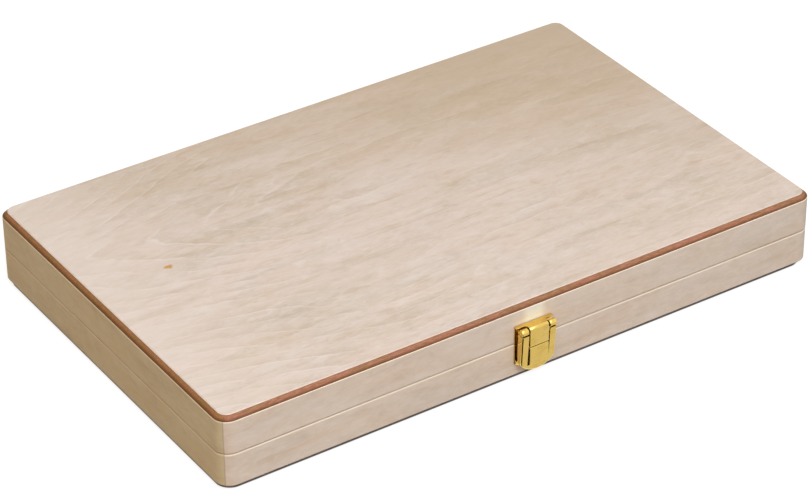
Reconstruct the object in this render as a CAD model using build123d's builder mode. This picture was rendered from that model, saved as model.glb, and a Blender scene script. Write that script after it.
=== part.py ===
from build123d import *
import os
from math import cos, radians, sin

# Wooden folding case of a backgammon board, closed, in millimetres.
# X runs along the long side, the front with the catch is -Y, Z is up.
# The origin is the centre of the underside.

# Case
case_length = 380.0
case_width = 240.0
half_height = 23.0
rail_thickness = 9.0
corner_radius = 8.5
panel_thickness = 3.1
face_veneer = 0.5
edge_cut = 3.4
rim_gap = 0.3
rim_easing = 0.5

# Playing field, seen when the case is open
field_veneer = 0.6
points_per_end = 6
point_length = 150.0
space_between_points = 2.0

# Butt hinges at the back
hinge_spacing = 220.0
leaf_length = 30.0
leaf_thickness = 1.0
leaf_inset = 7.6
hinge_axis_behind_wall = 0.35
hinge_pin_radius = 0.8
knuckle_gap = 0.25
barrel_notch_clearance = 0.35

# Countersunk screws of the hinges
screw_spacing = 19.0
screw_shank_radius = 1.2
screw_head_radius = 1.9
screw_length = 11.0
screws_off_leaf_middle = 0.4

# Catch at the front
sheet = 0.8
catch_plate_width = 23.6
plate_top_above_parting = 11.3
strap_width = 11.9
strap_reach = 6.8
full_flange_reach = 2.7
strap_fold_radius = 1.6
ear_rim = 0.95
ear_corner_radius = 1.2
tongue_end_above_parting = -0.4
catch_pin_radius = 0.75
catch_pin_reach = 5.2
catch_pin_above_parting = 9.2
loop_sheet = 1.0
loop_edge_easing = 0.6
loop_width = 22.0
loop_barrel_radius = 2.0
loop_depth = 4.1
loop_lean = 4.4
loop_window_half_width = 6.8
loop_window_below_pin = 21.75
loop_tip_below_pin = 26.3
loop_side_below_pin = 20.2
boss_width = 12.1
boss_height = 11.3
boss_below_parting = 0.9
boss_reach = 6.8
boss_edge_easing = 0.5
keeper_side_below_parting = 12.3
keeper_tip_below_parting = 16.2

# Nails of the catch
nail_offset = 8.7
nail_from_parting = 4.6
nail_shank_width = 0.9
nail_head_radius = 1.1
nail_crown_radius = 0.85
nail_head_height = 0.5
nail_length = 7.0
nail_tip_length = 1.5

# Sizes that follow from those above
running_clearance = 0.05
half_length = case_length / 2
half_width = case_width / 2
inner_length = case_length - 2 * rail_thickness
inner_width = case_width - 2 * rail_thickness
rail_height = half_height - rim_gap / 2 - panel_thickness
rim_level = half_height - rim_gap / 2
parting = Plane.XY.offset(half_height)
point_pitch = inner_width / points_per_end
point_width = point_pitch - space_between_points
hinge_axis_y = half_width + hinge_axis_behind_wall
hinge_bore_radius = hinge_pin_radius + running_clearance
barrel_radius = hinge_bore_radius + leaf_thickness
leaf_inner_y = half_width - leaf_inset
leaf_width = hinge_axis_y - leaf_inner_y
leaf_bottom = rim_level - leaf_thickness
knuckle_length = leaf_length / 3 - knuckle_gap / 2
screw_y = leaf_inner_y + leaf_inset / 2 - screws_off_leaf_middle
catch_bore_radius = catch_pin_radius + running_clearance
plate_foot = half_height + rim_gap
plate_top = half_height + plate_top_above_parting
tongue_end = half_height + tongue_end_above_parting
strap_front = -half_width - strap_reach
catch_pin_place = (-half_width - catch_pin_reach, half_height + catch_pin_above_parting)
boss_middle_below_parting = boss_below_parting + boss_height / 2
front_wall = Plane(origin=(0, -half_width, half_height), x_dir=(1, 0, 0), z_dir=(0, -1, 0))


# Outer form of a half: one 45 degree cut goes round it through veneer and core and just nips the rails
with BuildPart() as outer_form:
    with BuildSketch():
        RectangleRounded(case_length, case_width, corner_radius)
    extrude(amount=half_height)
    chamfer(outer_form.edges().group_by(Axis.Z)[0], edge_cut)

# One blank for the four rails of a half, eased along the rim
with BuildPart() as rail_blank:
    with BuildSketch(Plane.XY.offset(panel_thickness)):
        RectangleRounded(case_length, case_width, corner_radius)
        Rectangle(inner_length, inner_width, mode=Mode.SUBTRACT)
    extrude(amount=rail_height)
    chamfer(rail_blank.edges().group_by(Axis.Z)[-1], rim_easing)
    add(outer_form.part, mode=Mode.INTERSECT)


def between_mitres(corner_a, corner_b):
    """Trapezium over the wall between two outer corners of the case, its ends cut at 45 degrees"""
    reach = 2 * rail_thickness
    along = (corner_b - corner_a).normalized() * reach
    inward = ((corner_a + corner_b) * -1).normalized() * reach
    with BuildSketch() as stretch:
        with BuildLine():
            Polyline(corner_a, corner_b, corner_b + inward - along, corner_a + inward + along, close=True)
        make_face()
    return stretch.sketch


# Countersunk screws of the two hinges, the head as high as a leaf is thick
with BuildPart() as screw:
    with BuildSketch(Plane.XZ):
        with BuildLine():
            Polyline(
                (0, 0),
                (screw_head_radius, 0),
                (screw_shank_radius, -leaf_thickness),
                (screw_shank_radius, -screw_length),
                (0, -screw_length),
                close=True,
            )
        make_face()
    revolve(axis=Axis.Z)

with BuildPart() as lower_hinge_screws:
    with Locations((0, screw_y, rim_level)):
        with GridLocations(hinge_spacing, 1, 2, 1):
            with GridLocations(screw_spacing, 1, 2, 1):
                add(screw.part)

# Nails of the catch: a low crowned head on a square shank, cut to a wedge at its tip
with BuildPart() as nail:
    with BuildSketch(Plane.XZ):
        with BuildLine():
            Polyline(
                (-nail_shank_width / 2, 0),
                (-nail_shank_width / 2, nail_tip_length - nail_length),
                (0, -nail_length),
                (nail_shank_width / 2, nail_tip_length - nail_length),
                (nail_shank_width / 2, 0),
                close=True,
            )
        make_face()
    extrude(amount=nail_shank_width / 2, both=True)
    with BuildSketch(Plane.XZ):
        with BuildLine():
            Polyline(
                (0, 0),
                (nail_head_radius, 0),
                (nail_crown_radius, nail_head_height),
                (0, nail_head_height),
                close=True,
            )
        make_face()
    revolve(axis=Axis.Z)


def nails_at(height):
    """A pair of nails through a catch plate, at a height from the parting plane"""
    with BuildPart() as pair:
        with Locations(front_wall.offset(sheet)):
            with Locations((-nail_offset, height), (nail_offset, height)):
                add(nail.part)
    return pair


catch_lid_nails = nails_at(nail_from_parting)
catch_keeper_nails = nails_at(-nail_from_parting)

front_left = Vector(-half_length, -half_width)
front_right = Vector(half_length, -half_width)
back_left = Vector(-half_length, half_width)
back_right = Vector(half_length, half_width)

# Front rail of the lower half, with the holes for the catch's nails
with BuildPart() as lower_front_rail:
    add(rail_blank.part)
    extrude(between_mitres(front_left, front_right), amount=half_height, mode=Mode.INTERSECT)
    add(catch_keeper_nails.part, mode=Mode.SUBTRACT)

# Back rail, with a recess, a knuckle notch and screw holes for each hinge
with BuildPart() as lower_back_rail:
    add(rail_blank.part)
    extrude(between_mitres(back_left, back_right), amount=half_height, mode=Mode.INTERSECT)
    with BuildSketch(Plane.XY.offset(leaf_bottom)):
        with Locations((0, leaf_inner_y + leaf_inset / 2)):
            with GridLocations(hinge_spacing, 1, 2, 1):
                Rectangle(leaf_length, leaf_inset)
    extrude(amount=2 * leaf_thickness, mode=Mode.SUBTRACT)
    for hinge_x in (-hinge_spacing / 2, hinge_spacing / 2):
        with BuildSketch(Plane.YZ.offset(hinge_x)):
            with Locations((hinge_axis_y, half_height)):
                Circle(barrel_radius + barrel_notch_clearance)
        extrude(amount=leaf_length / 2, both=True, mode=Mode.SUBTRACT)
    add(lower_hinge_screws.part, mode=Mode.SUBTRACT)

with BuildPart() as lower_left_rail:
    add(rail_blank.part)
    extrude(between_mitres(back_left, front_left), amount=half_height, mode=Mode.INTERSECT)

with BuildPart() as lower_right_rail:
    add(rail_blank.part)
    extrude(between_mitres(front_right, back_right), amount=half_height, mode=Mode.INTERSECT)

# Base panel: face veneer below, core above
with BuildPart() as lower_panel_veneer:
    add(outer_form.part)
    split(bisect_by=Plane.XY.offset(face_veneer), keep=Keep.BOTTOM)

with BuildPart() as lower_panel_core:
    add(outer_form.part)
    split(bisect_by=Plane.XY.offset(face_veneer), keep=Keep.TOP)
    split(bisect_by=Plane.XY.offset(panel_thickness), keep=Keep.BOTTOM)


def points_sketch(first_at_left):
    """Every second point along both ends, starting with the front one at the left or at the right end"""
    with BuildSketch(Plane.XY.offset(panel_thickness)) as points:
        for end, first in ((-1, first_at_left), (1, not first_at_left)):
            base_x = end * inner_length / 2
            for index in range(0 if first else 1, points_per_end, 2):
                centre_y = -inner_width / 2 + point_pitch * (index + 0.5)
                with BuildLine():
                    Polyline(
                        (base_x, centre_y - point_width / 2),
                        (base_x, centre_y + point_width / 2),
                        (base_x - end * point_length, centre_y),
                        close=True,
                    )
                make_face()
    return points.sketch


# Playing field of the lower half: a sheet of veneer with the points let in
with BuildPart() as lower_dark_points:
    extrude(points_sketch(True), amount=field_veneer)

with BuildPart() as lower_light_points:
    extrude(points_sketch(False), amount=field_veneer)

with BuildPart() as lower_field_veneer:
    with BuildSketch(Plane.XY.offset(panel_thickness)):
        Rectangle(inner_length, inner_width)
    extrude(amount=field_veneer)
    add(lower_dark_points.part, mode=Mode.SUBTRACT)
    add(lower_light_points.part, mode=Mode.SUBTRACT)


def mirrored_up(piece):
    """The piece of the upper half that mirrors one of the lower half across the parting plane"""
    with BuildPart() as mirrored:
        mirror(piece.part, about=parting)
    return mirrored


# The upper half mirrors the lower one. Its dark points face the light ones across the bar.
upper_hinge_screws = mirrored_up(lower_hinge_screws)
upper_front_rail = mirrored_up(lower_front_rail)
upper_back_rail = mirrored_up(lower_back_rail)
upper_left_rail = mirrored_up(lower_left_rail)
upper_right_rail = mirrored_up(lower_right_rail)
upper_panel_veneer = mirrored_up(lower_panel_veneer)
upper_panel_core = mirrored_up(lower_panel_core)
upper_field_veneer = mirrored_up(lower_field_veneer)
upper_dark_points = mirrored_up(lower_light_points)
upper_light_points = mirrored_up(lower_dark_points)


def hinge_leaf(hinge_x, knuckle_centres, cut_centres):
    """Leaf let into the lower rim, with its knuckles round the pin and countersunk screw holes"""
    with BuildPart() as leaf:
        with BuildSketch(Plane.XY.offset(leaf_bottom)):
            with Locations((hinge_x, leaf_inner_y + leaf_width / 2)):
                Rectangle(leaf_length, leaf_width)
            for centre in cut_centres:
                with Locations((hinge_x + centre, hinge_axis_y)):
                    Rectangle(
                        knuckle_length + 2 * knuckle_gap,
                        2 * (barrel_radius + knuckle_gap),
                        mode=Mode.SUBTRACT,
                    )
        extrude(amount=leaf_thickness)
        for centre in knuckle_centres:
            with BuildSketch(Plane.YZ.offset(hinge_x + centre)):
                with Locations((hinge_axis_y, half_height)):
                    Circle(barrel_radius)
            extrude(amount=knuckle_length / 2, both=True)
        with BuildSketch(Plane.YZ.offset(hinge_x)):
            with Locations((hinge_axis_y, half_height)):
                Circle(hinge_bore_radius)
        extrude(amount=leaf_length, both=True, mode=Mode.SUBTRACT)
        add(lower_hinge_screws.part, mode=Mode.SUBTRACT)
    return leaf


def hinge_pin(hinge_x):
    """Pin of one hinge, flush with the outer knuckles"""
    with BuildPart() as pin:
        with BuildSketch(Plane.YZ.offset(hinge_x)):
            with Locations((hinge_axis_y, half_height)):
                Circle(hinge_pin_radius)
        extrude(amount=leaf_length / 2, both=True)
    return pin


# Butt hinges: outer knuckles on the lower leaf, the middle one on the upper leaf
outer_knuckles = ((knuckle_length - leaf_length) / 2, (leaf_length - knuckle_length) / 2)
middle_knuckle = (0,)
left_hinge_lower_leaf = hinge_leaf(-hinge_spacing / 2, outer_knuckles, middle_knuckle)
right_hinge_lower_leaf = hinge_leaf(hinge_spacing / 2, outer_knuckles, middle_knuckle)
left_hinge_upper_leaf = mirrored_up(hinge_leaf(-hinge_spacing / 2, middle_knuckle, outer_knuckles))
right_hinge_upper_leaf = mirrored_up(hinge_leaf(hinge_spacing / 2, middle_knuckle, outer_knuckles))
left_hinge_pin = hinge_pin(-hinge_spacing / 2)
right_hinge_pin = hinge_pin(hinge_spacing / 2)

# Catch plate of the upper half: one strip of sheet goes up the wall, over the pin and down as a tongue
with BuildPart() as catch_lid_plate:
    with BuildSketch(Plane.YZ) as strip_section:
        with BuildLine():
            Polyline(
                (-half_width, plate_foot),
                (-half_width, plate_top),
                (strap_front, plate_top),
                (strap_front, tongue_end),
                (strap_front + sheet, tongue_end),
                (strap_front + sheet, plate_top - sheet),
                (-half_width - sheet, plate_top - sheet),
                (-half_width - sheet, plate_foot),
                close=True,
            )
        make_face()
        outer_fold = strip_section.vertices().group_by(Axis.Y)[-1].sort_by(Axis.X)[0]
        fillet(outer_fold, strap_fold_radius)
        under_strap = plate_top - sheet
        inner_corners = strip_section.vertices().filter_by_position(Axis.Y, under_strap, under_strap)
        fillet(inner_corners.sort_by(Axis.X)[0], strap_fold_radius - sheet)
    extrude(amount=catch_plate_width / 2, both=True)
    side_notch = (catch_plate_width - strap_width) / 2
    with BuildSketch(front_wall.offset(full_flange_reach)):
        with Locations((0, plate_top_above_parting / 2)):
            with GridLocations(strap_width + side_notch, 1, 2, 1):
                Rectangle(side_notch, 2 * plate_top_above_parting)
    extrude(amount=strap_reach, mode=Mode.SUBTRACT)
    pin_y, pin_z = catch_pin_place
    ear_front = strap_front + sheet / 2
    ear_back = pin_y + catch_bore_radius + ear_rim
    ear_foot = pin_z - catch_bore_radius - ear_rim
    ear_top = plate_top - sheet / 2
    for ear_x in (-strap_width / 2, strap_width / 2 - sheet):
        with BuildSketch(Plane.YZ.offset(ear_x)) as ear:
            with Locations(((ear_front + ear_back) / 2, (ear_foot + ear_top) / 2)):
                Rectangle(ear_back - ear_front, ear_top - ear_foot)
            fillet(ear.vertices().group_by(Axis.Y)[0].sort_by(Axis.X)[-1], ear_corner_radius)
        extrude(amount=sheet)
    with BuildSketch(Plane.YZ):
        with Locations(catch_pin_place):
            Circle(catch_bore_radius)
    extrude(amount=strap_width, both=True, mode=Mode.SUBTRACT)
    add(catch_lid_nails.part, mode=Mode.SUBTRACT)

# Pin that the strap's two ears carry
with BuildPart() as catch_pin:
    with BuildSketch(Plane.YZ):
        with Locations(catch_pin_place):
            Circle(catch_pin_radius)
    extrude(amount=loop_width / 2 - running_clearance, both=True)

# Loop of the catch, pressed like a shallow cap with a window, leaning back to the wall towards its tip
lean = radians(loop_lean)
loop_plane = Plane(
    origin=(0, *catch_pin_place),
    x_dir=(1, 0, 0),
    z_dir=(0, -cos(lean), -sin(lean)),
)


def loop_outline(plane, inset, top):
    """Straight sides and a wide arc below, inset from the loop's outer edge"""
    side = loop_width / 2 - inset
    tip = inset - loop_tip_below_pin
    shoulder = -loop_side_below_pin
    with BuildSketch(plane) as outline:
        with BuildLine():
            Polyline((-side, shoulder), (-side, top), (side, top), (side, shoulder))
            ThreePointArc((side, shoulder), (0, tip), (-side, shoulder))
        make_face()
    return outline.sketch


with BuildPart() as catch_loop:
    extrude(loop_outline(loop_plane.offset(loop_barrel_radius), 0, 0), amount=-loop_depth)
    front_face = catch_loop.faces().sort_by(Axis.Y)[0]
    chamfer(front_face.edges().sort_by(Axis.Z)[:-1], loop_edge_easing)
    inner_plane = loop_plane.offset(loop_barrel_radius - loop_sheet)
    extrude(loop_outline(inner_plane, loop_sheet, loop_sheet), amount=-loop_depth, mode=Mode.SUBTRACT)
    with BuildSketch(loop_plane.offset(-loop_barrel_radius)):
        with Locations((0, (loop_sheet - loop_window_below_pin) / 2)):
            Rectangle(2 * loop_window_half_width, loop_sheet + loop_window_below_pin)
    extrude(amount=2 * loop_barrel_radius, mode=Mode.SUBTRACT)
    barrel_length = loop_width / 2 - loop_window_half_width
    for barrel_x in (-loop_width / 2, loop_window_half_width):
        with BuildSketch(Plane.YZ.offset(barrel_x)):
            with Locations(catch_pin_place):
                Circle(loop_barrel_radius)
        extrude(amount=barrel_length)
    with BuildSketch(Plane.YZ):
        with Locations(catch_pin_place):
            Circle(catch_bore_radius)
    extrude(amount=loop_width, both=True, mode=Mode.SUBTRACT)

# Keeper on the lower half: a plate with a hollow pressed boss that fills the loop's window
with BuildPart() as catch_keeper:
    with BuildSketch(front_wall) as keeper_outline:
        with BuildLine():
            keeper_side = catch_plate_width / 2
            Polyline(
                (-keeper_side, -keeper_side_below_parting),
                (-keeper_side, -rim_gap),
                (keeper_side, -rim_gap),
                (keeper_side, -keeper_side_below_parting),
            )
            ThreePointArc(
                (keeper_side, -keeper_side_below_parting),
                (0, -keeper_tip_below_parting),
                (-keeper_side, -keeper_side_below_parting),
            )
        make_face()
    extrude(amount=sheet)
    with BuildSketch(front_wall) as boss_outline:
        with Locations((0, -boss_middle_below_parting)):
            RectangleRounded(boss_width, boss_height, sheet)
    extrude(amount=boss_reach)
    boss_front = catch_keeper.faces().sort_by(Axis.Y)[0]
    chamfer(boss_front.edges(), boss_edge_easing)
    with BuildSketch(front_wall):
        with Locations((0, -boss_middle_below_parting)):
            Rectangle(boss_width - 2 * sheet, boss_height - 2 * sheet)
    extrude(amount=boss_reach - sheet, mode=Mode.SUBTRACT)
    add(catch_keeper_nails.part, mode=Mode.SUBTRACT)

pieces = {
    "lower_front_rail": lower_front_rail,
    "lower_back_rail": lower_back_rail,
    "lower_left_rail": lower_left_rail,
    "lower_right_rail": lower_right_rail,
    "lower_panel_core": lower_panel_core,
    "lower_panel_veneer": lower_panel_veneer,
    "lower_field_veneer": lower_field_veneer,
    "lower_dark_points": lower_dark_points,
    "lower_light_points": lower_light_points,
    "upper_front_rail": upper_front_rail,
    "upper_back_rail": upper_back_rail,
    "upper_left_rail": upper_left_rail,
    "upper_right_rail": upper_right_rail,
    "upper_panel_core": upper_panel_core,
    "upper_panel_veneer": upper_panel_veneer,
    "upper_field_veneer": upper_field_veneer,
    "upper_dark_points": upper_dark_points,
    "upper_light_points": upper_light_points,
    "left_hinge_lower_leaf": left_hinge_lower_leaf,
    "left_hinge_upper_leaf": left_hinge_upper_leaf,
    "left_hinge_pin": left_hinge_pin,
    "right_hinge_lower_leaf": right_hinge_lower_leaf,
    "right_hinge_upper_leaf": right_hinge_upper_leaf,
    "right_hinge_pin": right_hinge_pin,
    "lower_hinge_screws": lower_hinge_screws,
    "upper_hinge_screws": upper_hinge_screws,
    "catch_lid_plate": catch_lid_plate,
    "catch_pin": catch_pin,
    "catch_loop": catch_loop,
    "catch_keeper": catch_keeper,
    "catch_lid_nails": catch_lid_nails,
    "catch_keeper_nails": catch_keeper_nails,
}

os.makedirs("parts", exist_ok=True)
for name, piece in pieces.items():
    piece.part.label = name
    export_step(piece.part, f"parts/{name}.step")
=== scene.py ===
import math

import bmesh
import bpy
from mathutils import Matrix, Vector


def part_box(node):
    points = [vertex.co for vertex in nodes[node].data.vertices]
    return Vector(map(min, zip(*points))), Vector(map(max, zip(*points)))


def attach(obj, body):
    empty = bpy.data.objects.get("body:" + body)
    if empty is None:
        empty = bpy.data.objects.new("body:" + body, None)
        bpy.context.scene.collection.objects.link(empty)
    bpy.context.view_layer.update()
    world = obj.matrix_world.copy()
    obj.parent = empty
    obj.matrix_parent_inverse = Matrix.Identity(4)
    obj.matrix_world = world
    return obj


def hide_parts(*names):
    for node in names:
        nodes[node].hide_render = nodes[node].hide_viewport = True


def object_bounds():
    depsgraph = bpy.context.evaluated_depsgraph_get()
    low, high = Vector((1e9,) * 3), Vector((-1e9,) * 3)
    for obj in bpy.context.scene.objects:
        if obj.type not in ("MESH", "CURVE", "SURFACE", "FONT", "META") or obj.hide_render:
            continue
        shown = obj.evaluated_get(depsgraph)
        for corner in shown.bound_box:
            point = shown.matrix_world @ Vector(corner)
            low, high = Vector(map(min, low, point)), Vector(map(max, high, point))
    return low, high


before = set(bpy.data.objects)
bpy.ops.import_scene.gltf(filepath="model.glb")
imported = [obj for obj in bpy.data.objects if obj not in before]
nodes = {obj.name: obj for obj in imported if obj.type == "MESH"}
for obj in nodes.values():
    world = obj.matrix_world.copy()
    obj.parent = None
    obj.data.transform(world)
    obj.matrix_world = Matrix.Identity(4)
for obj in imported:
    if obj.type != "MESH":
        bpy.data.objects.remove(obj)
cad_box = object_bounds()

MM = 0.001
MATH = "ShaderNodeMath"
WHITE = (1, 1, 1, 1)

# Camera of the photograph, found from the case's straight edges
CAMERA_AZIMUTH = math.radians(-33.1965)
CAMERA_ELEVATION = math.radians(33.1312)
CAMERA_ROLL = math.radians(-0.6104)
CAMERA_DISTANCE = 1802.9 * MM
CAMERA_RIGHT = -0.91 * MM
CAMERA_UP = 10.5 * MM
CAMERA_LENS = 143.82

# Softboxes and sky, in metres and watts
KEY_POWER = 22.9
KEY_DISTANCE = 1.7
KEY_SIZE = 1.5
KEY_AZIMUTH = math.radians(-12)
KEY_ELEVATION = math.radians(55)
WARM_POWER = 1.5
WARM_DISTANCE = 1.4
WARM_SIZE = 0.9
WARM_AZIMUTH = math.radians(-95)
WARM_ELEVATION = math.radians(9)
SKY_STRENGTH = 0.30

# Table top, in metres: its glow grows to full strength away from the case
FLOOR_SIZE = 8.0
FLOOR_GLOW = 0.88
GLOW_NEAR = 0.5
GLOW_FAR = 1.6

# Painted contact shadow under the case, where the floor's glow stops: in millimetres inside its outline, and
# its corners
SHADOW_LEFT = 1.3
SHADOW_RIGHT = 2.0
SHADOW_FRONT = 2.0
SHADOW_BACK = 2.4
SHADOW_BLUR = 0.8
SHADOW_CORNER = 9.0

# Outer sizes of the case, from the frame, in millimetres
CASE_LOW, CASE_HIGH = (Vector(corner) / MM for corner in cad_box)
PANEL_INSET = 0.3
HALF_LENGTH = CASE_HIGH.x
HALF_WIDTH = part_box("upper_panel_core")[1][1] / MM + PANEL_INSET
PARTING = (CASE_LOW.z + CASE_HIGH.z) / 2
WALL = -HALF_WIDTH
RAIL_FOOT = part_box("lower_front_rail")[0][2] / MM
RAIL_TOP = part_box("upper_front_rail")[1][2] / MM - PARTING

# Cards on the table that only the brass mirrors, for painted reflections, in millimetres
CARD_LIFT = 0.5
CARD_BACK = WALL - 8

# Catch, in millimetres. The loop's heights are counted down from its pin, the keeper's from the parting
SHEET = 0.8
SHEET_EDGE = 0.12
BEND_RADIUS = 0.7
PLATE_WIDTH = 23.6
PLATE_TOP = PARTING + 11.3
PLATE_GAP = 0.3
FLANGE_REACH = 2.7
FLANGE_CORNER = 0.9
STRAP_WIDTH = 11.9
STRAP_FILLET = 1.2
STRAP_FRONT = WALL - 6.8
FOLD_RADIUS = 1.6
TONGUE_END = PARTING - 0.4
EAR_REACH = 1.75
EAR_CORNER = 1.2
PIN_RADIUS = 0.75
PIN_CLEARANCE = 0.05
PIN_Y = WALL - 5.2
PIN_Z = PARTING + 9.2
BARREL_RADIUS = 2.0
BARREL_RIM = 0.4
LOOP_WIDTH = 22.0
LOOP_DEPTH = 4.1
LOOP_SHEET = 1.0
LOOP_BEND = 0.9
LOOP_EDGE = 0.16
LOOP_LEAN = 4.4
LOOP_SHOULDER = 20.2
LOOP_TIP = 26.3
WINDOW_WIDTH = 13.6
WINDOW_FOOT = 21.75
SEAM_BELOW_PIN = 1.9
BOSS_WIDTH = 12.1
BOSS_HEIGHT = 11.3
BOSS_TOP = 0.9
BOSS_FRONT = WALL - 6.8
BOSS_EDGE = 0.22
KEEPER_SHOULDER = 12.3
KEEPER_TIP = 16.2

# Nails of the catch, in millimetres. The dome is steps forward and inward, and the tip a share of the shank
NAIL_OFFSET = 8.7
NAIL_HEIGHT = 4.6
NAIL_HEAD = 1.1
NAIL_RIM = 0.2
NAIL_DOME = ((0.14, 0.10), (0.12, 0.20), (0.08, 0.32))
NAIL_NECK = 0.55
NAIL_SHANK = 5.2
NAIL_POINT = 1.6
NAIL_TIP = 0.08

# Screws of the hinges, in millimetres. The neck, the tip and the thread's swell are shares of a width
SCREW_SPACING = 19.0
SCREW_HEAD = 1.9
SCREW_HEAD_DEPTH = 1.0
SLOT_REACH = 1.35
SLOT_HALF = 0.28
SLOT_DEPTH = 0.55
SCREW_NECK = 0.6
SCREW_TIP = 0.2
THREAD_PITCH = 0.9
THREAD_TURNS = 9
THREAD_SWELL = (0.80, 1.25)

# Tones of each wood: pale, tan, deep and gleam
FACE_TONES = ("#EDDFD5", "#E2D4C5", "#C9B69C", "#F7EEE8")
RAIL_TONES = ("#EEDDCE", "#E7D6C6", "#D2BEA8", "#F6EAE0")
WALNUT_TONES = ("#5A3B26", "#4A2F1E", "#2F1C12", "#6B4A32")
CHERRY_TONES = ("#B06A42", "#9C5A36", "#6E3B22", "#BE7C54")

# Growth rings: middle line across the board, size of the heart, taper of the arches, and spacing
FACE_RINGS = (40, 14, 0.22, 9.0)
FIELD_RINGS = (-20, 30, 0.12, 6.0)
POINT_RINGS = (0, 20, 0.08, 4.0)
QUARTER_RINGS = (260, 30, 0.02, 7.0)

# Resin fleck of the top, along and across, in millimetres
FLECK_X = -141.3
FLECK_Y = 15.8


def deselect_all():
    """Nothing is selected afterwards"""
    bpy.ops.object.select_all(action="DESELECT")


def leave_edit_mode():
    """Object mode afterwards, whatever the mode was"""
    if bpy.context.mode == "EDIT_MESH":
        bpy.ops.object.mode_set(mode="OBJECT")


def colour(hex_code):
    """Linear RGBA of an sRGB hex colour"""
    channels = [int(hex_code[i:i + 2], 16) / 255 for i in (1, 3, 5)]
    linear = [c / 12.92 if c <= 0.04045 else ((c + 0.055) / 1.055) ** 2.4 for c in channels]
    return (*linear, 1.0)


def add_node(tree, kind, inputs=None, **settings):
    """A node with its settings. An input's value is a number, a colour, another node's socket, or a node when
    its first output is meant"""
    node = tree.nodes.new(kind)
    for name, value in settings.items():
        setattr(node, name, value)
    for name, value in (inputs or {}).items():
        if isinstance(value, bpy.types.Node):
            value = value.outputs[0]
        if isinstance(value, bpy.types.NodeSocket):
            tree.links.new(value, node.inputs[name])
        else:
            node.inputs[name].default_value = value
    return node


def new_material(name):
    """An empty material and its tree"""
    material = bpy.data.materials.new(name)
    material.use_nodes = True
    material.node_tree.nodes.clear()
    return material, material.node_tree


def eased(tree, value, low, high, to_low=0.0, to_high=1.0):
    """Value taken smoothly from one range to another"""
    return add_node(
        tree,
        "ShaderNodeMapRange",
        {"Value": value, "From Min": low, "From Max": high, "To Min": to_low, "To Max": to_high},
        interpolation_type="SMOOTHSTEP",
    )


def overlap(tree, *masks):
    """Mask of where all the masks hold"""
    result = masks[0]
    for mask in masks[1:]:
        result = add_node(tree, MATH, {0: result, 1: mask}, operation="MULTIPLY")
    return result


def painted(tree, tone, mask, paint, blend="MIX"):
    """Tone with paint over it where the mask holds"""
    mix = add_node(tree, "ShaderNodeMix", {0: mask, 6: tone, 7: paint}, data_type="RGBA", blend_type=blend)
    return mix.outputs[2]


def tinted(tree, tone, pattern, low, high, strength, tint):
    """Tone taken towards a tint, up to a strength, as a pattern passes from low to high"""
    return painted(tree, tone, eased(tree, pattern, low, high, 0.0, strength), tint)


def from_case(azimuth, elevation):
    """Direction from the case. Azimuth 0 is in front, positive to the right"""
    return Vector((
        math.sin(azimuth) * math.cos(elevation),
        -math.cos(azimuth) * math.cos(elevation),
        math.sin(elevation),
    ))


def place_camera():
    """Camera at the photograph's place"""
    back = from_case(CAMERA_AZIMUTH, CAMERA_ELEVATION)
    level_right = Vector((0, 0, 1)).cross(back).normalized()
    level_up = back.cross(level_right)
    right = level_right * math.cos(CAMERA_ROLL) + level_up * math.sin(CAMERA_ROLL)
    up = -level_right * math.sin(CAMERA_ROLL) + level_up * math.cos(CAMERA_ROLL)
    place = back * CAMERA_DISTANCE + right * CAMERA_RIGHT + up * CAMERA_UP
    data = bpy.data.cameras.new("camera")
    data.lens = CAMERA_LENS
    data.sensor_width = 36
    data.clip_start = 0.05
    camera = bpy.data.objects.new("camera", data)
    turn = Matrix((right, up, back)).transposed().to_4x4()
    camera.matrix_world = Matrix.Translation(place) @ turn
    bpy.context.scene.collection.objects.link(camera)
    bpy.context.scene.camera = camera


def add_softbox(name, azimuth, elevation, distance, size, power, tint):
    """Square area light aimed at the case"""
    place = from_case(azimuth, elevation) * distance
    data = bpy.data.lights.new(name, "AREA")
    data.size = size
    data.energy = power
    data.color = colour(tint)[:3]
    light = bpy.data.objects.new(name, data)
    light.location = place
    light.rotation_euler = place.to_track_quat("Z", "Y").to_euler()
    bpy.context.scene.collection.objects.link(light)


def seen_directly(tree):
    """1 for rays that show the backdrop: camera, mirror and glass rays"""
    rays = add_node(tree, "ShaderNodeLightPath").outputs
    seen = add_node(tree, MATH, {0: rays["Is Camera Ray"], 1: rays["Is Glossy Ray"]}, operation="MAXIMUM")
    return add_node(tree, MATH, {0: seen, 1: rays["Is Transmission Ray"]}, operation="MAXIMUM")


def light_sky():
    """White to the eye, a dim sky to the object, warmer at the left like lamplight in a room"""
    world = bpy.data.worlds.new("sky")
    bpy.context.scene.world = world
    world.use_nodes = True
    tree = world.node_tree
    tree.nodes.clear()
    direct = seen_directly(tree)
    strength = add_node(
        tree, MATH, {0: direct, 1: 1.0 - SKY_STRENGTH, 2: SKY_STRENGTH}, operation="MULTIPLY_ADD"
    )
    towards = add_node(tree, "ShaderNodeTexCoord").outputs["Generated"]
    along = add_node(tree, "ShaderNodeSeparateXYZ", {0: towards})
    indirect = add_node(tree, MATH, {0: 1.0, 1: direct}, operation="SUBTRACT")
    warmth = overlap(tree, eased(tree, along, 0.1, -0.8), indirect)
    tint = painted(tree, WHITE, warmth, colour("#FFDCB0"))
    background = add_node(tree, "ShaderNodeBackground", {"Color": tint, "Strength": strength})
    add_node(tree, "ShaderNodeOutputWorld", {"Surface": background})


def outside_painted_shadow(tree, first, second):
    """Metres past the nearer of two edges of the painted contact shadow, counted from where its corners start
    to turn
    """
    past = add_node(tree, MATH, {0: first, 1: second}, operation="MAXIMUM")
    past = add_node(tree, MATH, {0: past, 1: SHADOW_CORNER * MM}, operation="ADD")
    return add_node(tree, MATH, {0: past, 1: 0.0}, operation="MAXIMUM")


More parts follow.
